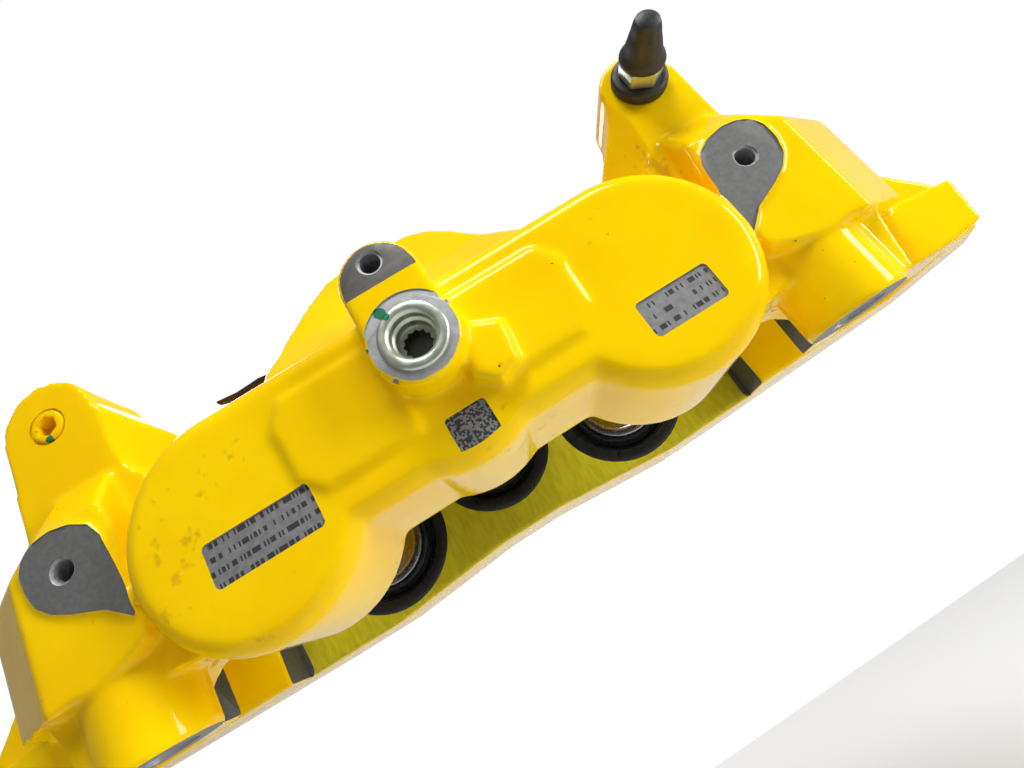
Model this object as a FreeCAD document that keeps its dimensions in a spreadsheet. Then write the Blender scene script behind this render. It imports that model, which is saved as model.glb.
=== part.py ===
# Six-piston fixed brake caliper, one-piece casting with radial mounting.
#
# Row frame: X runs along the disc's tangent, Y along the disc's axis (inboard is -Y), Z radially outward.
# The origin lies at mid-length, on the disc's mid-plane, in the plane of the mounting faces.
import FreeCAD, Part
import Sketcher
import os

Vector = FreeCAD.Vector
Rotation = FreeCAD.Rotation

doc = FreeCAD.newDocument("BrakeCaliper")


# ---------------------------------------------------------------- driving dimensions, in millimetres

SIZES = {
    # the disc and the space it turns in
    "disc_drop": (111.4, "mounting faces above the disc's axis"),
    "disc_room_radius": (193.5, "radius of the slot for the disc"),
    "disc_room_half": (18, "half the width of the slot"),
    "outer_radius": (209, "outside of the bridges, about the disc's axis"),
    # the pad bays
    "bay_half": (35.3, "mid-plane to the piston faces"),
    "bay_reach": (95.8, "middle to each pad abutment"),
    "bay_floor": (-12, "below the casting's lower edge"),
    "bay_tilt": (2.2, "lean of the abutments, degrees"),
    "bay_top": (90, "above the slot's roof"),
    # the cylinders
    "pitch": (53, "middle piston to an end piston, along X"),
    "end_height": (31.3, "axis of the end pistons above the mounting faces"),
    "mid_height": (40.5, "axis of the middle pistons"),
    "end_piston": (19, "radius of an end piston"),
    "mid_piston": (17, "radius of a middle piston"),
    "end_seat": (25.4, "radius of an end boot's seat"),
    "mid_seat": (23.8, "radius of a middle boot's seat"),
    "bore_gap": (0.05, "radial clearance of piston and seal"),
    "bore_depth": (32.7, "piston face to the cylinder's floor"),
    "seat_depth": (5, "depth of a boot's seat"),
    "seal_offset": (9, "piston face to the seal groove"),
    "seal_width": (3.2, "seal, along the bore"),
    "seal_height": (3, "seal, across the bore"),
    # pistons and boots
    "piston_length": (34, "whole length"),
    "piston_skirt": (24, "length of the full-diameter part"),
    "piston_rim": (2.5, "length of the rim in front of the boot groove"),
    "piston_rest": (1.2, "gap behind a piston when it is pushed home"),
    "piston_floor": (8, "thickness of the closed end"),
    "piston_wall": (3.5, "rim's wall"),
    "nose_step": (3, "piston radius less rim radius"),
    "neck_step": (4.2, "piston radius less neck radius"),
    # the inboard half
    "plate_face": (77, "mid-plane to the front face"),
    "end_lobe": (27.3, "radius of the casting round an end cylinder"),
    "mid_lobe": (26.4, "radius of the casting round the middle cylinder"),
    "web_floor": (17, "underside of the web between the cylinders"),
    "plate_rounding": (5, "edge of the front face"),
    "panel_rise": (1.3, "raised panels on the front face"),
    # the outboard half
    "outer_face": (73, "mid-plane to the outboard face"),
    "outer_floor": (3, "underside of the outboard half"),
    # bridges
    "mid_bridge": (24, "half the length of the middle bridge"),
    "window_end": (80, "middle to the far end of each window"),
    "window_half": (31, "half the width of the windows"),
    "tie_face": (27.5, "mid-plane to the inboard face of the ties at both ends"),
    "block_face": (40, "mid-plane to the block in front of each tie"),
    # ends: shoulder, foot, tower
    "shoulder_face": (71.4, "mid-plane to the shoulder's front face"),
    "channel_face": (60, "mid-plane to the channel between a shoulder and the cylinders"),
    "foot_face": (65.6, "mid-plane to the foot's front face"),
    "mount_reach": (94.7, "middle to each mounting bolt"),
    "mount_offset": (57.6, "mid-plane to the mounting bolts"),
    "mount_boss": (13, "radius of a mounting boss"),
    "mount_thread": (6.2, "minor radius of the M14 thread"),
    "mount_mouth": (7.2, "radius of the countersink at its mouth"),
    "mount_depth": (26, "depth of the mounting holes"),
    "mount_sink": (1, "depth of the countersink"),
    "plug_reach": (95.5, "middle to the plug's tower"),
    "plug_height": (87.5, "plug's axis above the mounting faces"),
    "bleeder_reach": (92, "middle to the bleeder's tower"),
    "bleeder_height": (86.3, "bleeder's axis above the mounting faces"),
    "plug_tower": (12.6, "radius of the plug's tower"),
    "bleeder_tower": (11.2, "radius of the bleeder's tower"),
    "tower_face": (60, "mid-plane to a tower's front face"),
    "tower_back": (36, "mid-plane to a tower's back"),
    "port_thread": (4.5, "minor radius of the M10 ports"),
    "port_depth": (16, "depth of the M10 ports"),
    # tapped pads on the front
    "pad_left": (94.4, "middle to the left shoulder's tapped hole"),
    "pad_right": (92.2, "middle to the right shoulder's tapped hole"),
    "pad_height": (44.6, "shoulders' tapped holes above the mounting faces"),
    "pad_face": (72, "mid-plane to the shoulders' pads"),
    "tap_radius": (2.5, "minor radius of the M6 thread"),
    "tap_depth": (14, "depth of the M6 holes"),
    # fluid inlet
    "inlet_height": (43, "inlet's axis"),
    "inlet_face": (86, "mid-plane to the inlet's flange"),
    "inlet_flange": (10.8, "radius of the flange"),
    "column_half": (9.5, "half the width of the inlet's column"),
    "column_top": (59.5, "centre of the column's rounded top"),
    "column_back": (40, "mid-plane to the column's back"),
    "column_tap": (4.5, "tapped hole above the centre of the rounded top"),
    "adapter_radius": (8, "inlet adapter's head"),
    "adapter_shank": (5.45, "adapter's shank"),
    "inlet_bore": (5.5, "radius of the inlet port"),
    "inlet_depth": (10, "depth of the inlet port"),
    "drilling": (2, "radius of the fluid drillings"),
    "gallery_height": (36, "drilling that joins the cylinders of one half"),
    "gallery_face": (59.3, "mid-plane to that drilling"),
    # hexagons and sockets
    "plug_socket": (3, "corner radius of the plug's socket"),
    "plug_socket_depth": (3.5, "depth of the plug's socket"),
    "star_round": (3.1, "radius of the adapter's star socket"),
    "star_point": (0.55, "radius of one of its points"),
    "nut_corner": (6.35, "corner radius of the bleeder's hexagon"),
    "nut_height": (4.6, "height of the bleeder's hexagon"),
    "nut_base": (3.8, "tower's face to the bleeder's hexagon"),
    "nipple_bore": (1.1, "radius of the bleeder's drilling"),
    # pad spring
    "spring_half": (27, "half the spring's width"),
}

dims = doc.addObject("Spreadsheet::Sheet", "dims")
for row, (alias, (value, words)) in enumerate(SIZES.items(), start=1):
    dims.set("A%d" % row, alias)
    dims.set("B%d" % row, str(value))
    dims.set("C%d" % row, words)
    dims.setAlias("B%d" % row, alias)
doc.recompute()

# ---------------------------------------------------------------- small helpers

TO_INBOARD = Rotation(Vector(1, 0, 0), 90)     # a primitive's own Z points to -Y
TO_OUTBOARD = Rotation(Vector(1, 0, 0), -90)   # a primitive's own Z points to +Y
UPRIGHT = Rotation()
PLANES = {
    # sketch turned so that its own x and y run along these axes, and the way it is extruded
    "XZ": (Rotation(Vector(1, 0, 0), 90), Vector(0, 1, 0)),
    "XY": (Rotation(), Vector(0, 0, 1)),
    "YZ": (Rotation(Vector(1, 1, 1), 120), Vector(1, 0, 0)),
}


def put(thing, x="0", y="0", z="0", turn=UPRIGHT):
    """Places an object, each coordinate bound to a formula."""
    thing.Placement = FreeCAD.Placement(Vector(), turn)
    for axis, formula in zip("xyz", (x, y, z)):
        thing.setExpression("Placement.Base." + axis, str(formula))
    return thing


def cylinder(name, radius, length, x="0", y="0", z="0", turn=UPRIGHT):
    thing = doc.addObject("Part::Cylinder", name)
    thing.setExpression("Radius", str(radius))
    thing.setExpression("Height", str(length))
    return put(thing, x, y, z, turn)


def cone(name, base, top, length, x="0", y="0", z="0", turn=UPRIGHT):
    thing = doc.addObject("Part::Cone", name)
    thing.setExpression("Radius1", str(base))
    thing.setExpression("Radius2", str(top))
    thing.setExpression("Height", str(length))
    return put(thing, x, y, z, turn)


def box(name, low, high):
    """A box between two corners, each given as three formulas."""
    thing = doc.addObject("Part::Box", name)
    for size, a, b in zip(("Length", "Width", "Height"), low, high):
        thing.setExpression(size, "(%s) - (%s)" % (b, a))
    return put(thing, *low)


def hexagon(name, corner, height, x, y, z, turn=UPRIGHT):
    thing = doc.addObject("Part::Prism", name)
    thing.Polygon = 6
    thing.setExpression("Circumradius", str(corner))
    thing.setExpression("Height", str(height))
    return put(thing, x, y, z, turn)


def join(name, pieces):
    thing = doc.addObject("Part::MultiFuse", name)
    thing.Shapes = pieces
    return thing


def cut(name, base, tool):
    thing = doc.addObject("Part::Cut", name)
    thing.Base = base
    thing.Tool = tool
    return thing


def common(name, pieces):
    thing = doc.addObject("Part::MultiCommon", name)
    thing.Shapes = pieces
    return thing


def draw(sketch, points):
    """A closed outline of straight lines, each corner held by two dimensions bound to formulas."""
    count = len(points)
    for i in range(count):
        turn = Rotation(Vector(0, 0, 1), 360 * i / count)
        after = Rotation(Vector(0, 0, 1), 360 * (i + 1) / count)
        start = turn.multVec(Vector(60, 0, 0))
        end = after.multVec(Vector(60, 0, 0))
        sketch.addGeometry(Part.LineSegment(start, end), False)
    for i, (across, up) in enumerate(points):
        sketch.addConstraint(Sketcher.Constraint("Coincident", i, 2, (i + 1) % count, 1))
        corner = sketch.Geometry[i].StartPoint
        for kind, value, formula in (("DistanceX", corner.x, across), ("DistanceY", corner.y, up)):
            number = sketch.addConstraint(Sketcher.Constraint(kind, -1, 1, i, 1, value))
            sketch.renameConstraint(number, "%s%d" % (kind[-1].lower(), i))
            sketch.setExpression("Constraints.%s%d" % (kind[-1].lower(), i), str(formula))


def prism(name, plane, points, start, end):
    """An outline in one plane, extruded square to it from start to end."""
    turn, way = PLANES[plane]
    sketch = doc.addObject("Sketcher::SketchObject", name + "_outline")
    draw(sketch, points)
    offset = {"XZ": ("0", start, "0"), "XY": ("0", "0", start), "YZ": (start, "0", "0")}[plane]
    put(sketch, *offset, turn=turn)
    thing = doc.addObject("Part::Extrusion", name)
    thing.Base = sketch
    thing.DirMode = "Custom"
    thing.Dir = way
    thing.setExpression("LengthFwd", "(%s) - (%s)" % (end, start))
    thing.Solid = True
    return thing


def turned(name, profile, x, y, z, turn=UPRIGHT):
    """A lathe-turned body: profile of (radius, distance along the body's own Y axis)."""
    body = doc.addObject("PartDesign::Body", name)
    sketch = body.newObject("Sketcher::SketchObject", name + "_profile")
    plane = [f for f in body.Origin.OriginFeatures if f.Role == "XY_Plane"][0]
    sketch.AttachmentSupport = [(plane, "")]
    sketch.MapMode = "FlatFace"
    draw(sketch, profile)
    revolution = body.newObject("PartDesign::Revolution", name + "_turning")
    revolution.Profile = sketch
    revolution.ReferenceAxis = (sketch, ["V_Axis"])
    revolution.Angle = 360
    body.Tip = revolution
    return put(body, x, y, z, turn)


def mirrored(name, source):
    """The same piece on the other side of the YZ plane."""
    thing = doc.addObject("Part::Mirroring", name)
    thing.Source = source
    thing.Normal = Vector(1, 0, 0)
    return thing


def both(name, source):
    return [source, mirrored(name, source)]


FACING = Rotation(Vector(0, 0, 1), 180)        # an outboard piece faces the disc the other way
SIDES = {"inboard": (-1, UPRIGHT), "outboard": (1, FACING)}
ROWS = {"left": ("-dims.pitch", "end"), "middle": ("0", "mid"), "right": ("dims.pitch", "end")}

# ---------------------------------------------------------------- casting: outer shape

round_outside = cylinder("outside", "dims.outer_radius", 200, "0", 100, "-dims.disc_drop", TO_INBOARD)

# three lobes round the inboard cylinders, and the web that joins them up to one straight top
lobes = []
for place, (x, kind) in ROWS.items():
    lobes.append(cylinder("lobe_" + place, "dims.%s_lobe" % kind, "dims.plate_face - dims.bay_half",
                          x, "-dims.bay_half", "dims.%s_height" % kind, TO_INBOARD))
web = box("web", ("-dims.pitch", "-dims.plate_face", "dims.web_floor"),
          ("dims.pitch", "-dims.bay_half", "dims.end_height + dims.end_lobe"))
plate_room = box("plate_room", (-100, -100, -20), (100, 0, "dims.end_height + dims.end_lobe"))
plate = common("plate", [join("joined_lobes", lobes + [web]), plate_room])
rounded_plate = doc.addObject("Part::Fillet", "rounded_plate")
rounded_plate.Base = plate
doc.recompute()
FRONT = -SIZES["plate_face"][0]
ROUNDING = SIZES["plate_rounding"][0]
front_edges = [i for i, edge in enumerate(plate.Shape.Edges, start=1)
               if abs(edge.BoundBox.YMin - FRONT) < 0.01 and edge.BoundBox.YLength < 0.01]
rounded_plate.Edges = [(i, ROUNDING, ROUNDING) for i in front_edges]

# the hump over the middle cylinder, which runs into the middle bridge
hump = common("hump", [
    prism("hump_front", "XZ", [(-44, 50), (46, 50), (44, 61), (38, 69), (34, 73.5), (30, 79), (26, 86), (20, 93.5),
                               (12, 98), (-14, 98), (-24, 90), (-33, 80), (-40, 70)], "-dims.plate_face",
          "-dims.disc_room_half"),
    prism("hump_side", "YZ", [("-dims.plate_face + 6", 50), ("-dims.disc_room_half", 50),
                              ("-dims.disc_room_half", 99), (-36, 99), (-40, 92), (-50, 76), (-62, 63),
                              (-71, 57)], -50, 50),
])

# the shoulder behind each tapped pad: it stands proud of the channel beside the cylinders and of the foot, its outer
# side is chamfered, and its top slopes down outwards and towards the front
shoulder_bulk = join("shoulder_bulk", [
    common("shoulder_block", [
        prism("block_front", "XZ", [(79.5, 27), (82.5, 21.5), (88, 19.3), (95, 18), (107, 17.5), (137, 20.5), (137, 62),
                                    (104, 84), (86, 84), (83, 56), (80.5, 44)], "-dims.shoulder_face",
              "-dims.disc_room_half"),
        prism("block_plan", "XY", [(77, "-dims.channel_face"), (81.5, "-dims.shoulder_face"),
                                   (107, "-dims.shoulder_face"), (131, -50), (137, "-dims.disc_room_half"),
                                   (77, "-dims.disc_room_half")], 0, 110),
        prism("block_side", "YZ", [("-dims.shoulder_face", 0), ("-dims.shoulder_face", 55.5),
                                   ("-dims.tower_face", 67), ("-dims.disc_room_half", 84),
                                   ("-dims.disc_room_half", 0)], 60, 140),
    ]),
    common("shoulder_root", [
        prism("root_front", "XZ", [(70, 22), (85, 20), (107, 18.5), (130, 21), (126, 66), (104, 84), (84, 84), (80, 66),
                                   (68, 50)], "-dims.channel_face", "-dims.disc_room_half"),
        prism("root_plan", "XY", [(50, "-dims.channel_face + 4"), (76, "-dims.channel_face"),
                                  (108, "-dims.channel_face"), (126, -50), (130, "-dims.disc_room_half"),
                                  (50, "-dims.disc_room_half")], 0, 110),
    ]),
])
ROOF_AT = Vector(112, 0, 7)
ROOF_LEAN = Rotation(Vector(0, 1, 0), 39)      # the roof falls this much outwards, in degrees
shoulder_roof = prism("shoulder_roof", "YZ", [(-80, 22.9), (-80, 120), (0, 120), (0, 85.3)], -100, 60)
shoulder_roof.Placement = FreeCAD.Placement(ROOF_AT, ROOF_LEAN)
shoulder = cut("shoulder", shoulder_bulk, shoulder_roof)

# the foot under the shoulder, round the mounting boss, arched towards the pad bay
foot = join("foot", [
    prism("foot_block", "XZ", [(94, 1.5), (108, 1.5), (112, 18), (112, 26), (64, 26), (66, 9), (71, 10.5), (76, 12.4),
                                (82, 13.6), (87, 13.2), (92, 9.5)],
          "-dims.foot_face", "-dims.disc_room_half"),
    cylinder("foot_boss", "dims.mount_boss", 26, "dims.mount_reach", "-dims.mount_offset", "0"),
])

# the tie that closes each end beyond the disc, with a block in front of it
tie = join("tie", [
    prism("tie_block", "XZ", [(100, 4.2), (140, 3.6), (152, 5), (154, 19.5), (139, 21), (125, 23.5), (100, 27)],
          "-dims.block_face", "-dims.disc_room_half"),
    common("tie_arch", [
        prism("tie_front", "XZ", [(100, 4.2), (175, 5), (172, 20), (150, 60), (112, 90), (70, 100), (70, 70),
                                  (100, 60)], "-dims.tie_face", "dims.bay_half"),
        prism("tie_plan", "XY", [(60, "-dims.tie_face"), (160, "-dims.tie_face"), (173.5, -4),
                                 (178, "dims.bay_half"), (60, "dims.bay_half")], 0, 110),
    ]),
])

# the outboard half, a crescent with three shallow swellings
crescent = common("crescent", [
    prism("crescent_face", "XZ", [(-176, "dims.outer_floor + 2"), (-60, "dims.outer_floor"), (-12, 7), (12, 7),
                                  (60, "dims.outer_floor"), (176, "dims.outer_floor + 2"), (150, 60), (110, 90),
                                  (60, 100), (-60, 100), (-110, 90), (-150, 60)], "dims.disc_room_half",
          "dims.outer_face"),
    prism("crescent_plan", "XY", [(-176, "dims.disc_room_half"), (176, "dims.disc_room_half"), (176, 44),
                                  (150, 54), (104, 66), (84, "dims.outer_face"), (-84, "dims.outer_face"),
                                  (-104, 66), (-150, 54), (-176, 44)], -5, 110),
    prism("crescent_side", "YZ", [("dims.disc_room_half", -5), (62, -5), ("dims.outer_face", 6),
                                  ("dims.outer_face", 62), (62, 84), (44, 99), ("dims.disc_room_half", 99)],
          -180, 180),
])

bridges = box("bridges", (-134, "-dims.disc_room_half - 10", 40), (134, "dims.disc_room_half + 10", 100))

inside_round = common("inside_round", [round_outside, join("ringed", [
    hump, crescent, bridges] + both("shoulder_left", shoulder) + both("foot_left", foot) + both("tie_left", tie))])

# a tower at each end, one for the plug and one for the bleeder, sloping away on its inner side
towers = []
for side, port, foot_reach in ((-1, "plug", 109.5), (1, "bleeder", 104)):
    reach = "dims.%s_reach" % port
    up = "dims.%s_height" % port
    top = "dims.%s_tower" % port
    towers.append(cylinder("tower_" + port, top, "dims.tower_face - dims.tower_back", "%d * %s" % (side, reach),
                           "-dims.tower_back", up, TO_INBOARD))
    root = [("(%s - %s)" % (reach, top), up), ("(%s + %s)" % (reach, top), up), (foot_reach, 60), (60, 56), (66, 66),
            (72, 74), (78, 81)]
    plan = [(82, "-dims.tower_face"), (112, "-dims.tower_face"), (112, "-dims.tower_back"),
            (58, "-dims.tower_back"), (66, -46), (74, -54)]
    towers.append(common("tower_root_" + port, [
        prism("tower_front_" + port, "XZ", [("%d * %s" % (side, x), z) for x, z in root], "-dims.tower_face",
              "-dims.tower_back"),
        prism("tower_plan_" + port, "XY", [("%d * %s" % (side, x), y) for x, y in plan], 40, 110)]))

# the teardrop pad on each shoulder, round its tapped hole, with the tip towards the cylinders
teardrop = [(-8, 6.2), (-4, 8.6), (0, 9.7), (4.5, 9), (7.5, 7), (8.7, 4), (8.6, -0.5), (7.3, -4), (4.5, -7), (0, -9.6),
            (-6, -12.6), (-11.8, -17.6), (-11.9, -12), (-11.2, -4.4), (-10, 2.4)]
pads = []
for side, hand in ((-1, "left"), (1, "right")):
    pads.append(prism("pad_" + hand, "XZ", [("%d * (dims.pad_%s + %s)" % (side, hand, x), "dims.pad_height + %s" % z)
                                            for x, z in teardrop], "-dims.pad_face", -50))

# the inlet's column and flange, with a small block beside the flange
inlet = join("inlet", [
    cylinder("column_round", "dims.column_half", "dims.inlet_face - dims.column_back", "0", "-dims.column_back",
             "dims.column_top", TO_INBOARD),
    box("column", ("-dims.column_half", "-dims.inlet_face", "dims.inlet_height"),
        ("dims.column_half", "-dims.column_back", "dims.column_top")),
    cylinder("flange", "dims.inlet_flange", "dims.inlet_face - 50", "0", "-50", "dims.inlet_height", TO_INBOARD),
    prism("flange_block", "XZ", [(8, 38), (10, 42), (18.5, 38), (17, 28), (11, 25.5), (6, 30)],
          "-dims.plate_face - 4.5", -60),
])

panel_outline = [(9, 27), (33, 27), (37, 31), (38, 45), (34, 50.5), (9, 50.5)]
panel = prism("panel", "XZ", panel_outline, "-dims.plate_face - dims.panel_rise", -60)

solid = join("solid", [inside_round, rounded_plate, inlet] + towers + pads + both("panel_left", panel))

# ---------------------------------------------------------------- casting: machining

# the slot for the disc, and the pad bays on both sides of it
disc_room = cylinder("disc_room", "dims.disc_room_radius", "2 * dims.disc_room_half", "0", "dims.disc_room_half",
                     "-dims.disc_drop", TO_INBOARD)
bay_lean = "dims.bay_reach + dims.bay_top * tan(dims.bay_tilt)"
bay = common("bay", [
    cylinder("bay_round", "dims.disc_room_radius", "2 * dims.bay_half", "0", "dims.bay_half", "-dims.disc_drop",
             TO_INBOARD),
    prism("bay_sides", "XZ", [("-dims.bay_reach", "dims.bay_floor"), ("dims.bay_reach", "dims.bay_floor"),
                              (bay_lean, "dims.bay_top"), ("-(%s)" % bay_lean, "dims.bay_top")],
          "-dims.bay_half", "dims.bay_half"),
])
window = box("window", ("dims.mid_bridge", "-dims.window_half", 30), ("dims.window_end", "dims.window_half", 110))

holes = []
for side, (sign, _) in SIDES.items():
    way = TO_INBOARD if sign < 0 else TO_OUTBOARD
    for place, (x, kind) in ROWS.items():
        name = "%s_%s" % (side, place)
        z = "dims.%s_height" % kind
        face = "%d * dims.bay_half" % sign
        holes.append(cylinder("bore_" + name, "dims.%s_piston + dims.bore_gap" % kind, "dims.bore_depth",
                              x, face, z, way))
        holes.append(cylinder("seat_" + name, "dims.%s_seat" % kind, "dims.seat_depth", x, face, z, way))
        holes.append(cylinder("groove_" + name, "dims.%s_piston + dims.bore_gap + dims.seal_height" % kind,
                              "dims.seal_width", x, "%d * (dims.bay_half + dims.seal_offset)" % sign, z, way))

for side in (-1, 1):
    hand = "left" if side < 0 else "right"
    reach = "%d * dims.mount_reach" % side
    holes.append(cylinder("mount_hole_" + hand, "dims.mount_thread", "dims.mount_depth", reach,
                          "-dims.mount_offset", "0"))
    holes.append(cone("mount_sink_" + hand, "dims.mount_mouth", "dims.mount_thread", "dims.mount_sink", reach,
                      "-dims.mount_offset", "0"))
    holes.append(cylinder("pad_hole_" + hand, "dims.tap_radius", "dims.tap_depth", "%d * dims.pad_%s" % (side, hand),
                          "-dims.pad_face", "dims.pad_height", TO_OUTBOARD))
    port = "plug" if side < 0 else "bleeder"
    holes.append(cylinder("port_hole_" + port, "dims.port_thread", "dims.port_depth",
                          "%d * dims.%s_reach" % (side, port), "-dims.tower_face", "dims.%s_height" % port,
                          TO_OUTBOARD))
holes.append(cylinder("column_hole", "dims.tap_radius", "dims.tap_depth", "0", "-dims.inlet_face",
                      "dims.column_top + dims.column_tap", TO_OUTBOARD))
holes.append(cylinder("inlet_port", "dims.inlet_bore", "dims.inlet_depth", "0", "-dims.inlet_face", "dims.inlet_height",
                      TO_OUTBOARD))
holes.append(cylinder("inlet_drilling", "dims.drilling", 30, "0", "-dims.inlet_face", "dims.inlet_height",
                      TO_OUTBOARD))
# one long drilling joins the three cylinders of each half
for side in (-1, 1):
    holes.append(cylinder("gallery_%s" % ("inboard" if side < 0 else "outboard"), "dims.drilling",
                          "2 * dims.pitch", "-dims.pitch", "%d * dims.gallery_face" % side,
                          "dims.gallery_height", Rotation(Vector(0, 1, 0), 90)))

tools = join("tools", [disc_room, bay] + both("window_left", window) + holes)
casting = cut("caliper_body", solid, tools)
casting.Label = "caliper_body"

# ---------------------------------------------------------------- pistons, seals and boots

for side, (sign, facing) in SIDES.items():
    for place, (x, kind) in ROWS.items():
        name = "%s_%s" % (side, place)
        z = "dims.%s_height" % kind
        full = "dims.%s_piston" % kind
        nose = "(%s - dims.nose_step)" % full
        neck = "(%s - dims.neck_step)" % full
        seat = "dims.%s_seat" % kind
        hollow = "(%s - dims.piston_wall)" % nose
        turned("piston_" + name, [
            (0, 0), ("%s - 0.8" % full, 0), (full, 0.8), (full, "dims.piston_skirt - 0.6"),
            ("%s - 0.6" % full, "dims.piston_skirt"), (neck, "dims.piston_skirt"),
            (neck, "dims.piston_length - dims.piston_rim"), (nose, "dims.piston_length - dims.piston_rim"),
            (nose, "dims.piston_length - 0.4"), ("%s - 0.4" % nose, "dims.piston_length"),
            ("%s + 0.4" % hollow, "dims.piston_length"), (hollow, "dims.piston_length - 0.4"),
            (hollow, "dims.piston_floor + 1"), ("%s - 1" % hollow, "dims.piston_floor"), (0, "dims.piston_floor")],
            x, "%d * (dims.bay_half + dims.bore_depth - dims.piston_rest)" % sign, z, facing)
        turned("seal_" + name, [
            ("%s + dims.bore_gap" % full, 0), ("%s + dims.bore_gap + dims.seal_height" % full, 0),
            ("%s + dims.bore_gap + dims.seal_height" % full, "dims.seal_width"),
            ("%s + dims.bore_gap" % full, "dims.seal_width")],
            x, "%d * (dims.bay_half + dims.seal_offset + dims.seal_width)" % sign, z, facing)
        turned("boot_" + name, [
            (seat, 0), (seat, 4.3), ("%s - 0.7" % seat, 4.9), ("%s + 1.6" % full, 4.9), ("%s + 0.8" % full, 3.6),
            ("%s - 0.1" % full, 3), ("%s - 0.7" % full, 3.8), ("%s - 1" % full, 5.5), ("%s + 0.5" % nose, 5.5),
            ("%s + 0.3" % nose, 4.6), ("%s + 0.05" % neck, 4.6), ("%s + 0.05" % neck, 2.3),
            ("%s + 0.4" % nose, 2.1), ("%s - 0.9" % full, 1.4), ("%s + 1" % full, 1.7), ("%s + 2" % full, 0)],
            x, "%d * (dims.bay_half + dims.seat_depth)" % sign, z, facing)

# ---------------------------------------------------------------- ports

# the steel adapter in the inlet, with a twelve-point socket for fitting it
adapter_blank = turned("adapter_blank", [
    (0, 0), ("dims.adapter_shank", 0), ("dims.adapter_shank", 9.9), ("dims.adapter_radius", 9.9),
    ("dims.adapter_radius", 10.4), ("dims.adapter_radius - 0.5", 10.9), (5.6, 10.9), (5.2, 10), (5.2, 8), (4.4, 7.4),
    (4.4, 4.5), (0, 4.5)], "0", "-dims.inlet_face + 9.9", "dims.inlet_height", FACING)
points = [cylinder("socket_round", "dims.star_round", 20, "0", "-dims.inlet_face + 12", "dims.inlet_height",
                   TO_INBOARD)]
for i in range(12):
    points.append(cylinder("socket_point_%d" % i, "dims.star_point", 20, "dims.star_round * cos(%d)" % (30 * i),
                           "-dims.inlet_face + 12", "dims.inlet_height + dims.star_round * sin(%d)" % (30 * i),
                           TO_INBOARD))
cut("inlet_adapter", adapter_blank, join("socket", points))

# the plug in the left tower, with a hexagon socket
plug_blank = turned("plug_blank", [(0, 0), (3.6, 0), (4.45, 1.2), (4.45, 13.2), (4.2, 13.45), (0, 13.45)],
                    "-dims.plug_reach", "-dims.tower_face + 13", "dims.plug_height", FACING)
cut("port_plug", plug_blank, hexagon("plug_hexagon", "dims.plug_socket", 6, "-dims.plug_reach",
                                     "-dims.tower_face + dims.plug_socket_depth", "dims.plug_height", TO_INBOARD))

# the bleeder screw: cone seat, thread, hexagon and hollow nipple
screw_blank = turned("screw_blank", [
    (0, 0), (2.6, 2.6), (3.4, 2.6), (3.4, 4), (4.45, 5), (4.45, 17.2), (3.9, 17.2), (3.9, 22.4), (2.9, 23),
    (2.9, 26.5), (3.6, 27.3), (3.6, 28.6), (2.6, 31), ("dims.nipple_bore", 31), ("dims.nipple_bore", 5.5),
    (0, 5.5)],
    "dims.bleeder_reach", "-dims.tower_face + 14", "dims.bleeder_height", FACING)
nut = hexagon("screw_hexagon", "dims.nut_corner", "dims.nut_height", "dims.bleeder_reach",
              "-dims.tower_face - dims.nut_base", "dims.bleeder_height", TO_INBOARD)
nut_core = cylinder("screw_core", "dims.nipple_bore", 8, "dims.bleeder_reach", "-dims.tower_face - 3",
                    "dims.bleeder_height", TO_INBOARD)
join("bleeder_screw", [screw_blank, cut("screw_head", nut, nut_core)])

# the rubber cap on the nipple, and the ring of its strap round the screw
turned("bleeder_cap", [
    (5.9, 0), (6.4, 0.5), (6.4, 2.2), (5.8, 2.9), (5.3, 3.6), (4.7, 8.4), (4.3, 9.9), (4.3, 10.9), (3.9, 12.8),
    (2.4, 14), (0, 14.3), (0, 11.4), (2.8, 11.4), (3.66, 10), (3.66, 4.9), (3.98, 4.6), (3.98, 0)],
    "dims.bleeder_reach", "-dims.tower_face - 8.6", "dims.bleeder_height", FACING)
turned("cap_ring", [
    (4.55, 0), (7.3, 0), (7.9, 0.6), (7.9, 2.9), (7.3, 3.6), (4.55, 3.6)],
    "dims.bleeder_reach", "-dims.tower_face", "dims.bleeder_height", FACING)

# ---------------------------------------------------------------- pad spring

# a bent leaf under the middle bridge; its long arms reach up into the left window and end in two barbs
leaf = prism("spring_leaf", "XZ", [
    (-65, 85.4), (-58, 84.6), (-50, 85), (-42, 83.8), (-34, 80.8), (-26, 79.4), (22, 79.4), (34, 77), (46, 72),
    (54, 72.8), (54, 73.6), (46, 72.9), (34, 77.9), (22, 80.2), (-26, 80.2), (-34, 81.6), (-42, 84.6), (-50, 85.8),
    (-58, 85.4), (-65, 86.2)], "-dims.spring_half", "dims.spring_half")
relief = join("spring_relief", [
    box("relief_middle", (-70, "-dims.spring_half + 9", 60), (-30, "dims.spring_half - 9", 100)),
    box("relief_right", (30, "-dims.spring_half + 9", 60), (60, "dims.spring_half - 9", 100)),
    box("slot_near", (-56.5, "-dims.spring_half + 3.4", 60), (-44, "-dims.spring_half + 6.4", 100)),
    box("slot_far", (-56.5, "dims.spring_half - 6.4", 60), (-44, "dims.spring_half - 3.4", 100)),
    prism("barbs_near", "XY", [(-66, "-dims.spring_half + 2"), (-61.5, "-dims.spring_half + 4.2"),
                               (-66, "-dims.spring_half + 6.4")], 60, 100),
    prism("barbs_far", "XY", [(-66, "dims.spring_half - 2"), (-61.5, "dims.spring_half - 4.2"),
                              (-66, "dims.spring_half - 6.4")], 60, 100),
])
cut("pad_spring", leaf, relief)

# ---------------------------------------------------------------- check and write

doc.recompute()

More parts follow.
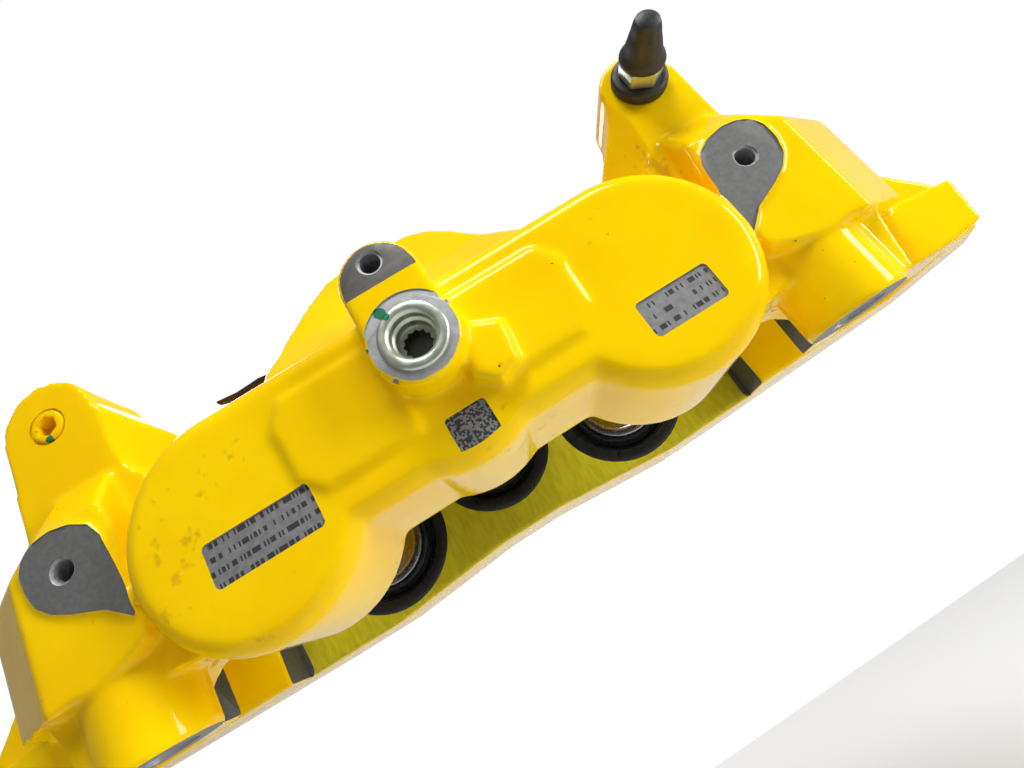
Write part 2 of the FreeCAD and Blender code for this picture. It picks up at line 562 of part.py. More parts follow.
NODES = ["caliper_body", "inlet_adapter", "port_plug", "bleeder_screw", "bleeder_cap", "cap_ring", "pad_spring"]
NODES += ["%s_%s_%s" % (what, side, place) for what in ("piston", "seal", "boot") for side in SIDES
          for place in ROWS]

for thing in doc.Objects:
    if "Invalid" in thing.State or "Error" in thing.State:
        raise RuntimeError("%s did not build: %s" % (thing.Name, thing.State))
os.makedirs("parts", exist_ok=True)
for name in NODES:
    thing = doc.getObject(name)
    thing.Label = name
    shape = thing.Shape
    if shape.isNull() or not shape.isValid():
        raise RuntimeError(name + " has no valid shape")
    print("%-26s %d solid(s) %9.1f mm3" % (name, len(shape.Solids), shape.Volume))
for name in NODES:
    doc.getObject(name).Shape.exportStep("parts/%s.step" % name)
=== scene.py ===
import math

import bpy
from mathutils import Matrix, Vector


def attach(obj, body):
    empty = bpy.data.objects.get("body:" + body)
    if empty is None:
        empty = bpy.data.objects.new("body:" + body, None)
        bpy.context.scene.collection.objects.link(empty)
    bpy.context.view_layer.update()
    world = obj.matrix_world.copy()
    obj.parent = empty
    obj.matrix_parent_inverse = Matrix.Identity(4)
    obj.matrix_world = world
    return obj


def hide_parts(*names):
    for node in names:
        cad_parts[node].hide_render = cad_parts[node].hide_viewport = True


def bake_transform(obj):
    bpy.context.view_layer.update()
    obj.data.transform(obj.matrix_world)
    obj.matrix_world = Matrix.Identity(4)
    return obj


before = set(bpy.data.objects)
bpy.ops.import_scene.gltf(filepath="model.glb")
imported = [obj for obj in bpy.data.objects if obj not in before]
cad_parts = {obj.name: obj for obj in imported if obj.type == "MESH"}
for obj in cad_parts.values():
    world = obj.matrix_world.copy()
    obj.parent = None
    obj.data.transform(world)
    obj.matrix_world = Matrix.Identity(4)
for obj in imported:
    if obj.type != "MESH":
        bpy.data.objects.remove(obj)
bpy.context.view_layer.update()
MM = 0.001


# ---------------------------------------------------------------- studio
# A small pale floor well below the caliper, a white room that is brighter behind it, and four
# soft boxes. The camera stands close to the inboard side, a little below it, and is rolled.

camera_data = bpy.data.cameras.new("camera")
camera_data.sensor_width = 36
camera_data.lens = 21.95
camera_data.shift_x = 0.0242
camera_data.shift_y = -0.0314
camera_data.clip_start = 0.01
camera = bpy.data.objects.new("camera", camera_data)
camera.location = (0.00174, -0.20747, -0.01340)
camera.rotation_euler = [math.radians(turn) for turn in (113.518, 30.847, 8.069)]
bpy.context.collection.objects.link(camera)
bpy.context.scene.camera = camera
bpy.context.scene.view_settings.view_transform = "Standard"

MIDDLE = Vector((0, 0, 0.04))
for name, place, width, height, power in (
        ("softbox_above", (0.20, -0.50, 0.85), 0.55, 0.35, 9),
        ("softbox_right", (0.85, -0.40, 0.10), 0.20, 0.5, 5.5),
        ("softbox_below", (0.25, -0.60, -0.55), 0.6, 0.15, 3.6),
        ("softbox_behind", (-0.30, 0.70, 0.55), 0.5, 0.4, 2.6)):
    light = bpy.data.lights.new(name, "AREA")
    light.shape = "RECTANGLE"
    light.size = width
    light.size_y = height
    light.energy = power
    lamp = bpy.data.objects.new(name, light)
    lamp.location = place
    lamp.rotation_euler = (MIDDLE - Vector(place)).to_track_quat("-Z", "Y").to_euler()
    bpy.context.collection.objects.link(lamp)

room = bpy.data.worlds.new("white_room")
room.use_nodes = True
wall = room.node_tree.nodes["Background"]
wall.inputs["Color"].default_value = (1, 1, 1, 1)
facing = room.node_tree.nodes.new("ShaderNodeVectorMath")
facing.operation = "DOT_PRODUCT"
facing.inputs[1].default_value = (0.25, 0.92, -0.25)
fade = room.node_tree.nodes.new("ShaderNodeMapRange")
fade.inputs["From Min"].default_value = 0.1
fade.inputs["From Max"].default_value = 0.95
fade.inputs["To Min"].default_value = 0.17
fade.inputs["To Max"].default_value = 0.72
seen = room.node_tree.nodes.new("ShaderNodeLightPath")
either = room.node_tree.nodes.new("ShaderNodeMath")
either.operation = "MAXIMUM"
toward = room.node_tree.nodes.new("ShaderNodeTexCoord")
room.node_tree.links.new(toward.outputs["Generated"], facing.inputs[0])
room.node_tree.links.new(facing.outputs["Value"], fade.inputs["Value"])
room.node_tree.links.new(fade.outputs["Result"], either.inputs[0])
room.node_tree.links.new(seen.outputs["Is Camera Ray"], either.inputs[1])
room.node_tree.links.new(either.outputs["Value"], wall.inputs["Strength"])
bpy.context.scene.world = room

FLOOR_SIZE, FLOOR_LEVEL = 0.8, -0.2
bpy.ops.mesh.primitive_plane_add(size=FLOOR_SIZE, location=(0, 0, FLOOR_LEVEL))
floor = bpy.context.object
floor.name = "floor"
floor_paint = bpy.data.materials.new("pale_floor")
floor_paint.use_nodes = True
floor_shader = floor_paint.node_tree.nodes["Principled BSDF"]
floor_shader.inputs["Base Color"].default_value = (0.93, 0.93, 0.92, 1)
floor_shader.inputs["Roughness"].default_value = 0.8
floor.data.materials.append(floor_paint)


# ---------------------------------------------------------------- casting
# One aluminium casting with both halves and their bridges, enamelled yellow all over.
# The raw casting has soft edges; the faces machined after painting are bare metal and crisp.

PITCH = 53
BAY_HALF = 35.3
END, MID = (19, 25.4), (17, 23.8)      # a cylinder's piston radius and boot seat radius
CYLINDERS = {"left": (-PITCH, 31.3, END), "middle": (0, 40.5, MID), "right": (PITCH, 31.3, END)}
SIDES = {"inboard": -1, "outboard": 1}
BORE_DEPTH, SEAT_DEPTH, BORE_GAP = 32.7, 5, 0.05
MOUNT_REACH, MOUNT_OFFSET, MOUNT_BOSS = 94.7, -57.6, 13
MOUNT_THREAD, MOUNT_MOUTH, MOUNT_DEPTH = 6.2, 7.2, 26
TAP, TAP_MOUTH, TAP_DEPTH = 2.5, 3.1, 14
PORT, PORT_DEPTH = 4.5, 16
PADS = {-1: 94.4, 1: 92.2}
PAD_HEIGHT, PAD_FACE = 44.6, -72
TEARDROP = [(-8, 6.2), (-4, 8.6), (0, 9.7), (4.5, 9), (7.5, 7), (8.7, 4), (8.6, -0.5), (7.3, -4), (4.5, -7),
            (0, -9.6), (-6, -12.6), (-11.8, -17.6), (-11.9, -12), (-11.2, -4.4), (-10, 2.4)]
PLATE_FACE = -77
INLET_HEIGHT, INLET_FACE, INLET_BORE, INLET_DEPTH = 43, -86, 5.5, 10
COLUMN_HALF, COLUMN_TOP, COLUMN_TAP = 9.7, 59.5, 4.5
FLANGE, COLUMN_BACK = 11, -50
TOWERS = {"plug": (-95.5, 87.5), "bleeder": (92, 86.3)}
TOWER_FACE = -60


def ready():
    """Object mode with nothing selected."""
    if bpy.context.object and bpy.context.object.mode != "OBJECT":
        bpy.ops.object.mode_set(mode="OBJECT")
    bpy.ops.object.select_all(action="DESELECT")


def only(piece):
    ready()
    piece.select_set(True)
    bpy.context.view_layer.objects.active = piece


def rod(radius, start, end, x, z, sides=96):
    """A round bar along Y between two places, in millimetres."""
    ready()
    bpy.ops.mesh.primitive_cylinder_add(vertices=sides, radius=radius * MM, depth=abs(end - start) * MM,
                                        location=(x * MM, (start + end) / 2 * MM, z * MM),
                                        rotation=(math.pi / 2, 0, 0))
    bpy.ops.object.transform_apply()
    return bpy.context.object


def post(radius, low, high, x, y):
    """A round bar along Z, in millimetres."""
    ready()
    bpy.ops.mesh.primitive_cylinder_add(vertices=96, radius=radius * MM, depth=(high - low) * MM,
                                        location=(x * MM, y * MM, (low + high) / 2 * MM))
    bpy.ops.object.transform_apply()
    return bpy.context.object


def block(low, high, edge=0.0):
    """A box between two corners, in millimetres, with the edges along Y rounded."""
    ready()
    bpy.ops.mesh.primitive_cube_add(size=1, location=[(a + b) / 2 * MM for a, b in zip(low, high)],
                                    scale=[(b - a) * MM for a, b in zip(low, high)])
    bpy.ops.object.transform_apply()
    box = bpy.context.object
    if edge:
        bpy.ops.object.mode_set(mode="EDIT")
        bpy.ops.mesh.select_all(action="DESELECT")
        bpy.ops.mesh.select_mode(type="EDGE")
        bpy.ops.object.mode_set(mode="OBJECT")
        for line in box.data.edges:
            a, b = (box.data.vertices[i].co for i in line.vertices)
            line.select = abs(a.x - b.x) < 1e-7 and abs(a.z - b.z) < 1e-7
        bpy.ops.object.mode_set(mode="EDIT")
        bpy.ops.mesh.bevel(offset=edge * MM, segments=6)
        bpy.ops.object.mode_set(mode="OBJECT")
    return box


def slab(outline, start, end):
    """An outline of (x, z) corners, extruded along Y from start to end, in millimetres."""
    ready()
    bpy.ops.mesh.primitive_circle_add(vertices=len(outline), radius=MM, fill_type="NGON")
    plate = bpy.context.object
    for corner, (x, z) in zip(plate.data.vertices, outline):
        corner.co = (x * MM, start * MM, z * MM)
    bpy.ops.object.mode_set(mode="EDIT")
    bpy.ops.mesh.select_all(action="SELECT")
    bpy.ops.mesh.extrude_region_move(TRANSFORM_OT_translate={"value": (0, (end - start) * MM, 0)})
    bpy.ops.mesh.select_all(action="SELECT")
    bpy.ops.mesh.normals_make_consistent(inside=False)
    bpy.ops.object.mode_set(mode="OBJECT")
    return plate


def merge(pieces):
    """Joins several pieces into the first."""
    only(pieces[0])
    for piece in pieces:
        piece.select_set(True)
    bpy.ops.object.join()
    return bpy.context.object


def finish_with(piece, kind, **settings):
    """Adds one modifier and applies it."""
    only(piece)
    modifier = piece.modifiers.new(kind.lower(), kind)
    for name, value in settings.items():
        setattr(modifier, name, value)
    bpy.ops.object.modifier_apply(modifier=modifier.name)


def carve(piece, cutters, finish):
    """Takes the cutters out of the piece; the cut faces get the finish."""
    for cutter in cutters:
        cutter.data.materials.clear()
        cutter.data.materials.append(finish)
        finish_with(piece, "BOOLEAN", operation="DIFFERENCE", solver="EXACT", object=cutter,
                    material_mode="TRANSFER")
        bpy.data.objects.remove(cutter)


def material(name, color, roughness, metallic=0.0):
    made = bpy.data.materials.new(name)
    made.use_nodes = True
    shader = made.node_tree.nodes["Principled BSDF"]
    shader.inputs["Base Color"].default_value = (*color, 1)
    shader.inputs["Roughness"].default_value = roughness
    shader.inputs["Metallic"].default_value = metallic
    return made, made.node_tree, shader


def grey(level):
    return (level, level, level)


def noise(tree, scale, detail=4, stretch=(1, 1, 1)):
    """Noise on the piece's own coordinates; scale counts features to the metre."""
    mapping = tree.nodes.new("ShaderNodeMapping")
    mapping.inputs["Scale"].default_value = stretch
    tree.links.new(tree.nodes.new("ShaderNodeTexCoord").outputs["Object"], mapping.inputs["Vector"])
    texture = tree.nodes.new("ShaderNodeTexNoise")
    texture.inputs["Scale"].default_value = scale
    texture.inputs["Detail"].default_value = detail
    tree.links.new(mapping.outputs["Vector"], texture.inputs["Vector"])
    return texture.outputs["Fac"]


def steps(tree, value, stops):
    """A ramp from a value to colours: stops of (position, colour)."""
    ramp = tree.nodes.new("ShaderNodeValToRGB")
    while len(ramp.color_ramp.elements) < len(stops):
        ramp.color_ramp.elements.new(0.5)
    for element, (position, color) in zip(ramp.color_ramp.elements, stops):
        element.position = position
        element.color = (*color, 1)
    tree.links.new(value, ramp.inputs["Fac"])
    return ramp.outputs["Color"]


def mix(tree, mask, first, second):
    """Blends two colours by a mask; each is a colour or a socket."""
    node = tree.nodes.new("ShaderNodeMix")
    node.data_type = "RGBA"
    tree.links.new(mask, node.inputs["Factor"])
    for side, value in (("A", first), ("B", second)):
        socket = [s for s in node.inputs if s.name == side and s.type == "RGBA"][0]
        if isinstance(value, tuple):
            socket.default_value = (*value, 1)
        else:
            tree.links.new(value, socket)
    return [s for s in node.outputs if s.type == "RGBA"][0]


def combine(tree, operation, first, second):
    """A sum, product or the like of two values; each is a number or a socket."""
    node = tree.nodes.new("ShaderNodeMath")
    node.operation = operation
    for socket, value in zip(node.inputs, (first, second)):
        if isinstance(value, (int, float)):
            socket.default_value = value
        else:
            tree.links.new(value, socket)
    return node.outputs["Value"]


def bump(tree, shader, value, height, strength=1.0):
    """Adds relief of a height in millimetres over what the shader has already."""
    node = tree.nodes.new("ShaderNodeBump")
    node.inputs["Distance"].default_value = height * MM
    node.inputs["Strength"].default_value = strength
    tree.links.new(value, node.inputs["Height"])
    for below in shader.inputs["Normal"].links:
        tree.links.new(below.from_socket, node.inputs["Normal"])
    tree.links.new(node.outputs["Normal"], shader.inputs["Normal"])


def along(tree, axis, low, high):
    """A mask that rises from 0 to 1 between two places on an axis, in millimetres."""
    split = tree.nodes.new("ShaderNodeSeparateXYZ")
    tree.links.new(tree.nodes.new("ShaderNodeTexCoord").outputs["Object"], split.inputs["Vector"])
    span = tree.nodes.new("ShaderNodeMapRange")
    span.inputs["From Min"].default_value = low * MM
    span.inputs["From Max"].default_value = high * MM
    tree.links.new(split.outputs[axis], span.inputs["Value"])
    return span.outputs["Result"]


def dab(tree, place, size):
    """A mask for a small brush mark: 1 inside an uneven blob at a place, both in millimetres."""
    mapping = tree.nodes.new("ShaderNodeMapping")
    mapping.vector_type = "TEXTURE"
    mapping.inputs["Location"].default_value = [c * MM for c in place]
    mapping.inputs["Scale"].default_value = [s * MM for s in size]
    tree.links.new(tree.nodes.new("ShaderNodeTexCoord").outputs["Object"], mapping.inputs["Vector"])
    length = tree.nodes.new("ShaderNodeVectorMath")
    length.operation = "LENGTH"
    tree.links.new(mapping.outputs["Vector"], length.inputs[0])
    edge = tree.nodes.new("ShaderNodeMapRange")
    edge.inputs["From Min"].default_value = 1.6
    edge.inputs["From Max"].default_value = 1.45
    tree.links.new(combine(tree, "ADD", length.outputs["Value"], noise(tree, 900, 2)), edge.inputs["Value"])
    return edge.outputs["Result"]


DISC_DROP = 111.4      # the casting's underside above the disc's axis


def near_axis(tree, reach):
    """A mask that is 1 within this many millimetres of the disc's axis."""
    mapping = tree.nodes.new("ShaderNodeMapping")
    mapping.inputs["Location"].default_value = (0, 0, DISC_DROP * MM)
    mapping.inputs["Scale"].default_value = (1, 0, 1)
    tree.links.new(tree.nodes.new("ShaderNodeTexCoord").outputs["Object"], mapping.inputs["Vector"])
    length = tree.nodes.new("ShaderNodeVectorMath")
    length.operation = "LENGTH"
    tree.links.new(mapping.outputs["Vector"], length.inputs[0])
    return combine(tree, "LESS_THAN", length.outputs["Value"], reach * MM)


YELLOW = (1.0, 0.66, 0.0)
AMBER = (0.95, 0.58, 0.0)
MARK_GREEN = (0.02, 0.2, 0.1)


def yellow_enamel(name, mark=None):
    """Glossy enamel over a cast skin, with specks of dirt, faint scuffs and a dull film in the bay."""
    made, tree, shader = material(name, YELLOW, 0.2)
    shader.inputs["Specular IOR Level"].default_value = 0.1
    shader.inputs["Coat Weight"].default_value = 0.13
    shader.inputs["Coat Roughness"].default_value = 0.05
    body = steps(tree, noise(tree, 28, 3), [(0.34, AMBER), (0.6, YELLOW)])
    scuffs = steps(tree, combine(tree, "MULTIPLY", noise(tree, 45, 2), noise(tree, 330, 5)),
                   [(0.40, grey(0)), (0.47, grey(0.4))])
    body = mix(tree, scuffs, body, (0.40, 0.22, 0.01))
    specks = steps(tree, noise(tree, 520, 2), [(0.765, grey(0)), (0.79, grey(0.9))])
    body = mix(tree, specks, body, (0.06, 0.03, 0.01))
    film = combine(tree, "SUBTRACT", along(tree, "Y", BAY_HALF - 1.6, BAY_HALF - 0.5),
                   along(tree, "Y", BAY_HALF + 0.3, BAY_HALF + 1.2))
    film = combine(tree, "MULTIPLY", film, near_axis(tree, 200))
    grain = steps(tree, noise(tree, 700, 4, (1, 1, 0.25)),
                  [(0.3, (0.44, 0.39, 0.01)), (0.7, (0.58, 0.52, 0.02))])
    body = mix(tree, film, body, grain)
    if mark:
        body = mix(tree, dab(tree, *mark), body, MARK_GREEN)
    tree.links.new(body, shader.inputs["Base Color"])
    gloss = steps(tree, noise(tree, 90, 5), [(0.35, grey(0.06)), (0.75, grey(0.15))])
    tree.links.new(mix(tree, film, gloss, grey(0.5)), shader.inputs["Roughness"])
    bump(tree, shader, noise(tree, 650, 2), 0.015, 0.5)
    bump(tree, shader, noise(tree, 110, 2), 0.14, 0.5)
    return made


def bare_aluminium(name, color, metallic=0.8, stretch=(1, 1, 6), mark=None):
    """Milled aluminium gone dull, with fine cutter marks and stains."""
    made, tree, shader = material(name, color, 0.5, metallic)
    shades = [(0.3, tuple(c * 0.88 for c in color)), (0.7, tuple(min(1, c * 1.14) for c in color))]
    body = steps(tree, noise(tree, 900, 6), shades)
    if mark:
        body = mix(tree, dab(tree, *mark), body, MARK_GREEN)
    tree.links.new(body, shader.inputs["Base Color"])
    tree.links.new(steps(tree, noise(tree, 500, 4), [(0.3, grey(0.42)), (0.7, grey(0.58))]),
                   shader.inputs["Roughness"])
    bump(tree, shader, noise(tree, 1500, 3, stretch), 0.02, 0.6)
    return made


def etched_plate(name, cell, row, filled):
    """A bare plate with rows of meaningless engraved dashes or squares, cell wide and row apart."""
    made, tree, shader = material(name, (0.30, 0.31, 0.31), 0.5, 0.6)
    place = tree.nodes.new("ShaderNodeTexCoord").outputs["Object"]
    snap = tree.nodes.new("ShaderNodeVectorMath")
    snap.operation = "SNAP"
    tree.links.new(place, snap.inputs[0])
    snap.inputs[1].default_value = (cell * MM, 1, row * MM)
    chance = tree.nodes.new("ShaderNodeTexWhiteNoise")
    tree.links.new(snap.outputs["Vector"], chance.inputs["Vector"])
    dark = steps(tree, chance.outputs["Value"], [(0.50, grey(0)), (0.52, grey(1))])
    split = tree.nodes.new("ShaderNodeSeparateXYZ")
    tree.links.new(place, split.inputs["Vector"])
    share = combine(tree, "FRACT", combine(tree, "DIVIDE", split.outputs["Z"], row * MM), 0)
    within = combine(tree, "LESS_THAN", share, filled)
    marks = combine(tree, "MULTIPLY", dark, within)
    metal = steps(tree, noise(tree, 700, 5), [(0.3, grey(0.25)), (0.7, grey(0.36))])
    tree.links.new(mix(tree, marks, metal, grey(0.07)), shader.inputs["Base Color"])
    bump(tree, shader, combine(tree, "SUBTRACT", 1, marks), 0.05, 0.8)
    bump(tree, shader, noise(tree, 1500, 3), 0.02, 0.5)
    return made


enamel = yellow_enamel("yellow_enamel")
milled = bare_aluminium("milled_aluminium", (0.17, 0.175, 0.17), 0.4)
# A darker copy of the milled finish, for the half-round pad above the inlet.
darker_milled = bare_aluminium("darker_milled_aluminium", (0.105, 0.1, 0.09), 0.25)
drilled = bare_aluminium("drilled_aluminium", (0.55, 0.55, 0.56), 0.9, (1, 14, 1))
spotfaced = bare_aluminium("spotfaced_aluminium", (0.46, 0.47, 0.46), 0.7,
                           mark=((-3.9, INLET_FACE, INLET_HEIGHT + 8.6), (1.3, 3, 1.4)))
abutment = bare_aluminium("abutment_aluminium", (0.13, 0.135, 0.13), 0.7, (1, 6, 1))
label_etching = etched_plate("label_etching", 0.4, 2.9, 0.42)
code_etching = etched_plate("code_etching", 0.45, 0.45, 2)

only(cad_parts["caliper_body"])
bpy.ops.object.duplicate()
casting = bpy.context.object
casting.name = "casting"
casting.data.materials.clear()
bpy.ops.object.mode_set(mode="EDIT")
bpy.ops.mesh.select_all(action="SELECT")
bpy.ops.mesh.remove_doubles(threshold=0.01 * MM)
bpy.ops.object.mode_set(mode="OBJECT")


def teardrop(side, grow, start, end):
    """A bar with the outline of a shoulder's pad, grown by some millimetres."""
    outline = []
    for x, z in TEARDROP:
        across = PADS[side] + x + math.copysign(grow, x + 1)
        outline.append((side * across, PAD_HEIGHT + z + math.copysign(grow, z + 1)))
    return slab(outline, start, end)


# the raw casting: holes still closed, and some height to spare where it will be machined
spare = []
for way in SIDES.values():
    for x, z, (bore, seat) in CYLINDERS.values():
        spare.append(rod(seat + 0.3, way * 42, way * (BAY_HALF + 0.01), x, z))
        spare.append(rod(bore + 3.6, way * 69, way * 41, x, z))
for side in (-1, 1):
    spare.append(post(MOUNT_BOSS, -0.6, MOUNT_DEPTH, side * MOUNT_REACH, MOUNT_OFFSET))
    spare.append(teardrop(side, 0.3, PAD_FACE - 1.0, -58))
front = INLET_FACE - 0.3
spare.append(rod(COLUMN_HALF, front, COLUMN_BACK, 0, COLUMN_TOP))
spare.append(block((-COLUMN_HALF, front, INLET_HEIGHT), (COLUMN_HALF, COLUMN_BACK, COLUMN_TOP)))
spare.append(rod(FLANGE, front, COLUMN_BACK, 0, INLET_HEIGHT))
for x, z in TOWERS.values():
    spare.append(rod(7, TOWER_FACE + 0.01, -40, x, z))
casting = merge([casting] + spare)
VOXEL, TRIANGLES = 0.8, 150000
finish_with(casting, "REMESH", mode="VOXEL", voxel_size=VOXEL * MM)
finish_with(casting, "SMOOTH", factor=0.5, iterations=11)
finish_with(casting, "DECIMATE", ratio=min(1.0, TRIANGLES / (2 * len(casting.data.polygons))))
casting.data.materials.clear()
casting.data.materials.append(enamel)

# seats of the boots, then the bores
carve(casting, [rod(seat, way * (BAY_HALF + SEAT_DEPTH), way * (BAY_HALF - 6), x, z)
                for way in SIDES.values() for x, z, (bore, seat) in CYLINDERS.values()], drilled)
carve(casting, [rod(bore + BORE_GAP, way * (BAY_HALF + BORE_DEPTH), way * (BAY_HALF + 4), x, z)
                for way in SIDES.values() for x, z, (bore, seat) in CYLINDERS.values()], drilled)

# mounting faces and their threaded holes
for side in (-1, 1):
    x = side * MOUNT_REACH
    carve(casting, [post(MOUNT_BOSS + 0.6, -5, 0, x, MOUNT_OFFSET)], milled)
    carve(casting, [post(MOUNT_THREAD, -1, MOUNT_DEPTH, x, MOUNT_OFFSET),
                    post(MOUNT_MOUTH, -1, 0.9, x, MOUNT_OFFSET)], drilled)

def tapped(x, face, z):
    """Cutters for an M6 hole with a countersunk mouth."""
    return [rod(TAP, face - 1, face + TAP_DEPTH, x, z, 48), rod(TAP_MOUTH, face - 1, face + 0.6, x, z, 48)]


# the teardrop pads and their tapped holes
for side in (-1, 1):
    carve(casting, [teardrop(side, 0.5, PAD_FACE - 6, PAD_FACE)], milled)
    carve(casting, tapped(side * PADS[side], PAD_FACE, PAD_HEIGHT), drilled)

# the half-round pad above the inlet, and the inlet's spot face with three nicks in its edge
carve(casting, [block((-14, INLET_FACE - 4, COLUMN_TOP - 1.6), (14, INLET_FACE, COLUMN_TOP + 20))], darker_milled)
carve(casting, tapped(0, INLET_FACE, COLUMN_TOP + COLUMN_TAP), drilled)
carve(casting, [rod(10.85, INLET_FACE - 3, INLET_FACE, 0, INLET_HEIGHT)], spotfaced)
for turn in (16, 167, 220):
    x, z = 10.9 * math.cos(math.radians(turn)), INLET_HEIGHT + 10.9 * math.sin(math.radians(turn))
    carve(casting, [rod(0.8, INLET_FACE - 1, INLET_FACE + 1.2, x, z, 24)], spotfaced)
carve(casting, [rod(INLET_BORE, INLET_FACE - 1, INLET_FACE + INLET_DEPTH, 0, INLET_HEIGHT)], drilled)

# threaded ports in the towers, and the recess round the plug
carve(casting, [rod(PORT, TOWER_FACE - 1, TOWER_FACE + PORT_DEPTH, x, z)
                for x, z in TOWERS.values()], drilled)
carve(casting, [rod(5.0, TOWER_FACE - 1, TOWER_FACE + 0.7, *TOWERS["plug"])], enamel)

# abutments, where the ends of the brake pads slide
for side in (-1, 1):
    for way in (-1, 1):
        low, high = sorted((side * 90, side * 96.8))
        near, far = sorted((way * 18.4, way * 35.2))
        carve(casting, [block((low, near, -2), (high, far, 33))], abutment)

# etched plates on the front, where paint was left off
carve(casting, [block((-62, PLATE_FACE - 3, 20.3), (-36, PLATE_FACE + 0.3, 30.5), 1.2),
                block((45, PLATE_FACE - 3, 16.2), (64, PLATE_FACE + 0.3, 25.6), 1.2)], label_etching)
carve(casting, [block((-4.2, PLATE_FACE - 3, 16.4), (6, PLATE_FACE + 0.3, 26), 1.0)], code_etching)

only(casting)
bpy.ops.object.shade_smooth_by_angle(angle=math.radians(34))
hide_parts("caliper_body")
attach(casting, "caliper")


# ---------------------------------------------------------------- pistons
# Six cup pistons of ground and plated steel, open towards the brake pads, with a groove that
# holds the boot's lip. Each slides in its own bore.

def turned(name, profile, x, y, z, way, finish, sides=96, crisp=34):
    """Lathe work round an axis along Y: profile of (radius, distance from y the way it faces)."""
    ready()
    radius, start = profile[0]
    bpy.ops.mesh.primitive_circle_add(vertices=sides, radius=max(radius, 0.001) * MM,
                                      location=(x * MM, (y + way * start) * MM, z * MM),
                                      rotation=(math.pi / 2, 0, 0))
    bpy.ops.object.transform_apply()
    piece = bpy.context.object
    piece.name = name
    bpy.ops.object.mode_set(mode="EDIT")
    bpy.ops.mesh.select_all(action="SELECT")
    for (before, here), (after, there) in zip(profile, profile[1:]):
        bpy.ops.mesh.extrude_region_move(TRANSFORM_OT_translate={"value": (0, way * (there - here) * MM, 0)})
        ratio = max(after, 0.001) / max(before, 0.001)
        bpy.ops.transform.resize(value=(ratio, 1, ratio),
                                 center_override=(x * MM, (y + way * there) * MM, z * MM))
    bpy.ops.mesh.select_all(action="SELECT")
    bpy.ops.mesh.remove_doubles(threshold=0.004 * MM)
    bpy.ops.mesh.normals_make_consistent(inside=False)
    bpy.ops.object.mode_set(mode="OBJECT")
    bpy.ops.object.shade_smooth_by_angle(angle=math.radians(crisp))
    piece.data.materials.append(finish)
    return piece


def plated_steel(name, color, roughness, ring=2200):
    """Plated steel with fine turning marks round its axis."""
    made, tree, shader = material(name, color, roughness, 1.0)
    body = steps(tree, noise(tree, 260, 5), [(0.3, tuple(c * 0.8 for c in color)), (0.7, color)])
    tree.links.new(body, shader.inputs["Base Color"])
    gloss = steps(tree, noise(tree, 700, 3), [(0.3, grey(roughness * 0.8)), (0.7, grey(roughness * 1.5))])
    tree.links.new(gloss, shader.inputs["Roughness"])
    bump(tree, shader, noise(tree, ring, 2, (0.15, 1, 0.15)), 0.01, 0.5)
    return made


piston_metal = plated_steel("piston_plating", (0.36, 0.37, 0.39), 0.2)
PISTON_BACK = BAY_HALF + BORE_DEPTH - 1.2      # it stops this short of the floor
for side, way in SIDES.items():
    for place, (x, z, (bore, seat)) in CYLINDERS.items():
        nose, neck, hollow = bore - 3, bore - 4.2, bore - 6.5
        piston = turned("piston_cup_%s_%s" % (side, place), [
            (0, 0), (bore - 0.8, 0), (bore, 0.8), (bore, 23.4), (bore - 0.6, 24), (neck + 0.3, 24), (neck, 24.3),
            (neck, 31.2), (neck + 0.3, 31.5), (nose, 31.5), (nose, 33.4), (nose - 0.2, 33.8), (nose - 0.6, 34),
            (hollow + 0.6, 34), (hollow + 0.2, 33.8), (hollow, 33.4), (hollow, 11), (hollow - 0.8, 8.8),
            (hollow - 3, 8), (0, 8)], x, way * PISTON_BACK, z, -way, piston_metal)
        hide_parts("piston_%s_%s" % (side, place))
        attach(piston, "piston_%s_%s" % (side, place))


# ---------------------------------------------------------------- boots and seals
# Each boot is a moulded rubber bellows: an outer ring pressed into the casting, a fold, and a lip
# in the piston's groove. The seals sit in the bores.

def black_rubber(name, color, roughness):
    made, tree, shader = material(name, color, roughness)
    tree.links.new(steps(tree, noise(tree, 300, 5), [(0.3, tuple(c * 0.7 for c in color)),
                                                     (0.75, tuple(c * 1.7 for c in color))]),
                   shader.inputs["Base Color"])
    gloss = steps(tree, noise(tree, 450, 4), [(0.3, grey(roughness * 0.8)), (0.7, grey(roughness * 1.3))])
    tree.links.new(gloss, shader.inputs["Roughness"])
    bump(tree, shader, noise(tree, 1800, 2), 0.02, 0.5)
    return made


